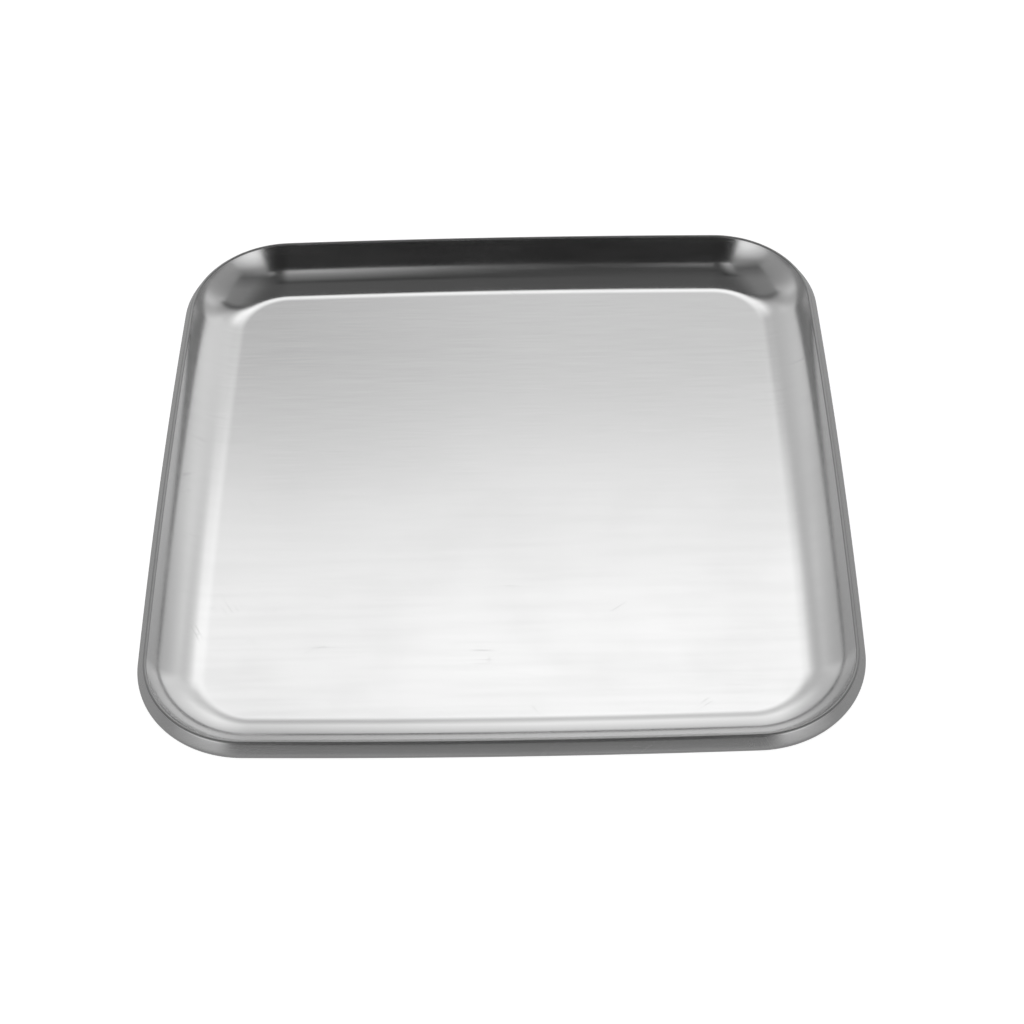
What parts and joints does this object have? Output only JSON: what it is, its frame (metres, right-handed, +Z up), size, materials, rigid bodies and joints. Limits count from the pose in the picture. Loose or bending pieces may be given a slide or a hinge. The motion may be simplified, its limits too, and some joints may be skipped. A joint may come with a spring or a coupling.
{
  "type": "pill counting tray",
  "caption": "Shallow square stainless steel counting tray with a flat floor, coved walls, big rounded corners and a turned-down lip all round.",
  "frame": {"origin": "middle of the flat underside, on the surface that the tray stands on", "axes": "+Z up out of the tray, X and Y along its sides, -Y towards the person using it"},
  "size_m": [0.24, 0.24, 0.0134],
  "materials": {
    "satin_steel": "satin brushed, with fine straight grain and light scuffs"
  },
  "bodies": {
    "root": {"tray_pan": "satin_steel"}
  },
  "joints": []
}
